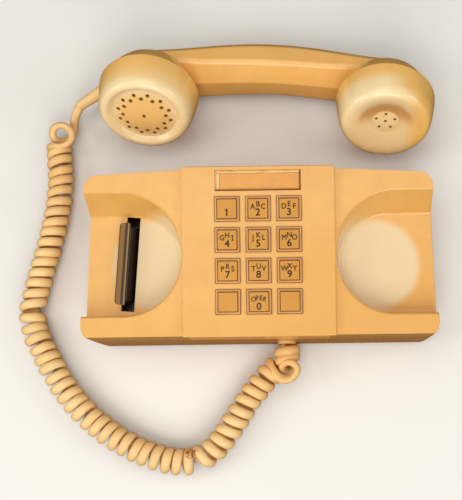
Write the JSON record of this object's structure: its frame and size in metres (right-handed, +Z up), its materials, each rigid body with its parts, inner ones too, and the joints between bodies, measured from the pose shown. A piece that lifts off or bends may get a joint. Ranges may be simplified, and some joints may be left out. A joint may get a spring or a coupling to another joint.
{
  "type": "push-button telephone",
  "caption": "Low desk telephone with a sloping keypad between two round cradle recesses, a hook lever, a separate handset lying off the hook and a curly cord.",
  "frame": {"origin": "centre of the base's footprint, on the surface that it stands on", "axes": "+X to the right of someone facing the keypad, +Y towards the rear, +Z up"},
  "size_m": [0.275, 0.2838, 0.064],
  "materials": {
    "shell_plastic": "glossy moulded plastic, aged from ivory to amber, paler where the handset shaded it",
    "key_plastic": "satin moulded keys with a pale frame and a darker pad",
    "lever_plastic": "smoky translucent plastic",
    "card_stock": "aged paper card, blank",
    "window_plastic": "clear plastic strip",
    "cord_vinyl": "vinyl-covered cord, beige",
    "foot_rubber": "dark rubber",
    "plated_steel": "zinc-plated steel",
    "black_plastic": "moulded black plastic",
    "board_laminate": "phenolic board",
    "ferrite": "ferrite and lacquered steel",
    "capacitor_case": "dipped capacitor",
    "gong_brass": "spun brass gong",
    "coil_wrap": "taped copper winding",
    "capsule_metal": "pressed metal capsule"
  },
  "bodies": {
    "base": {"housing": "shell_plastic", "faceplate": "shell_plastic", "baseplate": "plated_steel", "baseplate_screws": "plated_steel", "keypad_screws": "plated_steel", "hook_bracket": "plated_steel", "hook_pin": "plated_steel", "hook_spring": "plated_steel", "ringer_frame": "plated_steel", "gong_post": "plated_steel", "rubber_feet": "foot_rubber", "number_card": "card_stock", "card_window": "window_plastic", "keypad_module": "black_plastic", "keypad_board": "board_laminate", "tone_coils": "ferrite", "hook_contacts": "black_plastic", "network_board": "board_laminate", "network_spacers": "black_plastic", "transformer": "ferrite", "capacitors": "capacitor_case", "terminal_strip": "black_plastic", "ringer_gong": "gong_brass", "ringer_coil": "coil_wrap", "inlet_grommet": "foot_rubber", "cord_gland": "cord_vinyl", "cord_coil": "cord_vinyl", "cord_tail_handset": "cord_vinyl", "cord_tail_base": "cord_vinyl"},
    "handset": {"handset_body": "shell_plastic", "receiver_cap": "shell_plastic", "mouthpiece_cap": "shell_plastic", "receiver_unit": "capsule_metal", "transmitter_unit": "capsule_metal", "transmitter_cup": "black_plastic", "cord_boot": "cord_vinyl"},
    "hook_lever": {"hook_lever": "lever_plastic"},
    "clapper": {"ringer_clapper": "plated_steel"},
    "key_1": {"key_1": "key_plastic"},
    "key_2": {"key_2": "key_plastic"},
    "key_3": {"key_3": "key_plastic"},
    "key_4": {"key_4": "key_plastic"},
    "key_5": {"key_5": "key_plastic"},
    "key_6": {"key_6": "key_plastic"},
    "key_7": {"key_7": "key_plastic"},
    "key_8": {"key_8": "key_plastic"},
    "key_9": {"key_9": "key_plastic"},
    "key_blank_left": {"key_blank_left": "key_plastic"},
    "key_0": {"key_0": "key_plastic"},
    "key_blank_right": {"key_blank_right": "key_plastic"}
  },
  "joints": [
    {"name": "handset_lift", "type": "slide", "parent": "base", "child": "handset", "axis": [0, 0, 1], "range_m": [0, 0.12]},
    {"name": "hook_press", "type": "hinge", "parent": "base", "child": "hook_lever", "pos_m": [-0.09792, -0.00209, 0.02482], "axis": [0.068, 0.9918, 0.1077], "range_deg": [0, 22], "stiffness_Nm_per_rad": 0.008, "springref_deg": -28.65},
    {"name": "clapper_swing", "type": "hinge", "parent": "base", "child": "clapper", "pos_m": [0.053, 0.028, 0.01], "axis": [0, 0, 1], "range_deg": [0, 4.5], "stiffness_Nm_per_rad": 0.002, "springref_deg": -5.73},
    {"name": "key_1_press", "type": "slide", "parent": "base", "child": "key_1", "axis": [0, 0.1736, -0.9848], "range_m": [0, 0.0026], "stiffness_N_per_m": 150, "springref_m": -0.002},
    {"name": "key_2_press", "type": "slide", "parent": "base", "child": "key_2", "axis": [0, 0.1736, -0.9848], "range_m": [0, 0.0026], "stiffness_N_per_m": 150, "springref_m": -0.002},
    {"name": "key_3_press", "type": "slide", "parent": "base", "child": "key_3", "axis": [0, 0.1736, -0.9848], "range_m": [0, 0.0026], "stiffness_N_per_m": 150, "springref_m": -0.002},
    {"name": "key_4_press", "type": "slide", "parent": "base", "child": "key_4", "axis": [0, 0.1736, -0.9848], "range_m": [0, 0.0026], "stiffness_N_per_m": 150, "springref_m": -0.002},
    {"name": "key_5_press", "type": "slide", "parent": "base", "child": "key_5", "axis": [0, 0.1736, -0.9848], "range_m": [0, 0.0026], "stiffness_N_per_m": 150, "springref_m": -0.002},
    {"name": "key_6_press", "type": "slide", "parent": "base", "child": "key_6", "axis": [0, 0.1736, -0.9848], "range_m": [0, 0.0026], "stiffness_N_per_m": 150, "springref_m": -0.002},
    {"name": "key_7_press", "type": "slide", "parent": "base", "child": "key_7", "axis": [0, 0.1736, -0.9848], "range_m": [0, 0.0026], "stiffness_N_per_m": 150, "springref_m": -0.002},
    {"name": "key_8_press", "type": "slide", "parent": "base", "child": "key_8", "axis": [0, 0.1736, -0.9848], "range_m": [0, 0.0026], "stiffness_N_per_m": 150, "springref_m": -0.002},
    {"name": "key_9_press", "type": "slide", "parent": "base", "child": "key_9", "axis": [0, 0.1736, -0.9848], "range_m": [0, 0.0026], "stiffness_N_per_m": 150, "springref_m": -0.002},
    {"name": "key_blank_left_press", "type": "slide", "parent": "base", "child": "key_blank_left", "axis": [0, 0.1736, -0.9848], "range_m": [0, 0.0026], "stiffness_N_per_m": 150, "springref_m": -0.002},
    {"name": "key_0_press", "type": "slide", "parent": "base", "child": "key_0", "axis": [0, 0.1736, -0.9848], "range_m": [0, 0.0026], "stiffness_N_per_m": 150, "springref_m": -0.002},
    {"name": "key_blank_right_press", "type": "slide", "parent": "base", "child": "key_blank_right", "axis": [0, 0.1736, -0.9848], "range_m": [0, 0.0026], "stiffness_N_per_m": 150, "springref_m": -0.002}
  ]
}
